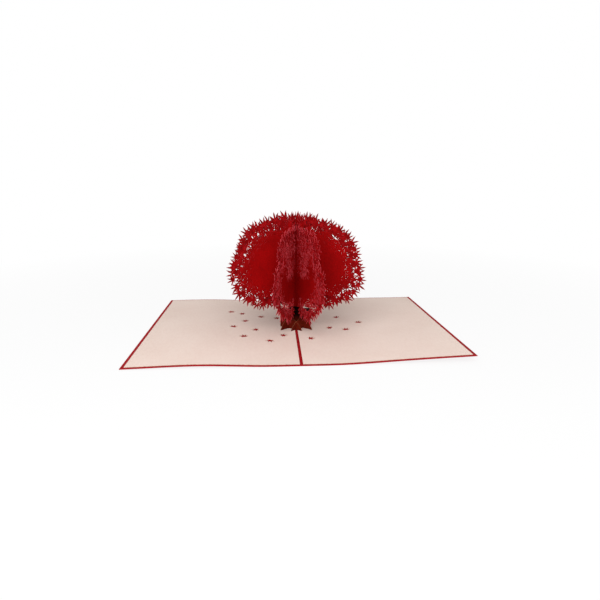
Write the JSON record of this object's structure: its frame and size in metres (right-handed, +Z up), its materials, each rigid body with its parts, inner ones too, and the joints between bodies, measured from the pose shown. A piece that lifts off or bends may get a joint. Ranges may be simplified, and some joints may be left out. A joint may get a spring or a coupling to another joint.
{
  "type": "pop up card",
  "caption": "Open greeting card lying flat, with a slotted paper maple tree standing over the spine and small leaves cut through the cream inner panels.",
  "frame": {"origin": "on the surface the card lies on, under the middle of the spine", "axes": "+X to the right across the spine, +Y along the spine to the back, +Z up"},
  "size_m": [0.254, 0.1778, 0.0987],
  "materials": {
    "cover_card": "matt red card",
    "inner_card": "matt cream card",
    "trunk_card": "matt dark reddish brown card",
    "leaf_card": "matt deep red card with paler cut edges"
  },
  "bodies": {
    "root": {"cover": "cover_card", "left_inner_panel": "inner_card", "right_inner_panel": "inner_card", "trunk_front_left_slice": "trunk_card", "trunk_front_right_slice": "trunk_card", "trunk_side_left_slice": "trunk_card", "trunk_side_right_slice": "trunk_card", "canopy_front_left_sheet": "leaf_card", "canopy_front_right_sheet": "leaf_card", "canopy_side_left_sheet": "leaf_card", "canopy_side_right_sheet": "leaf_card"}
  },
  "joints": []
}
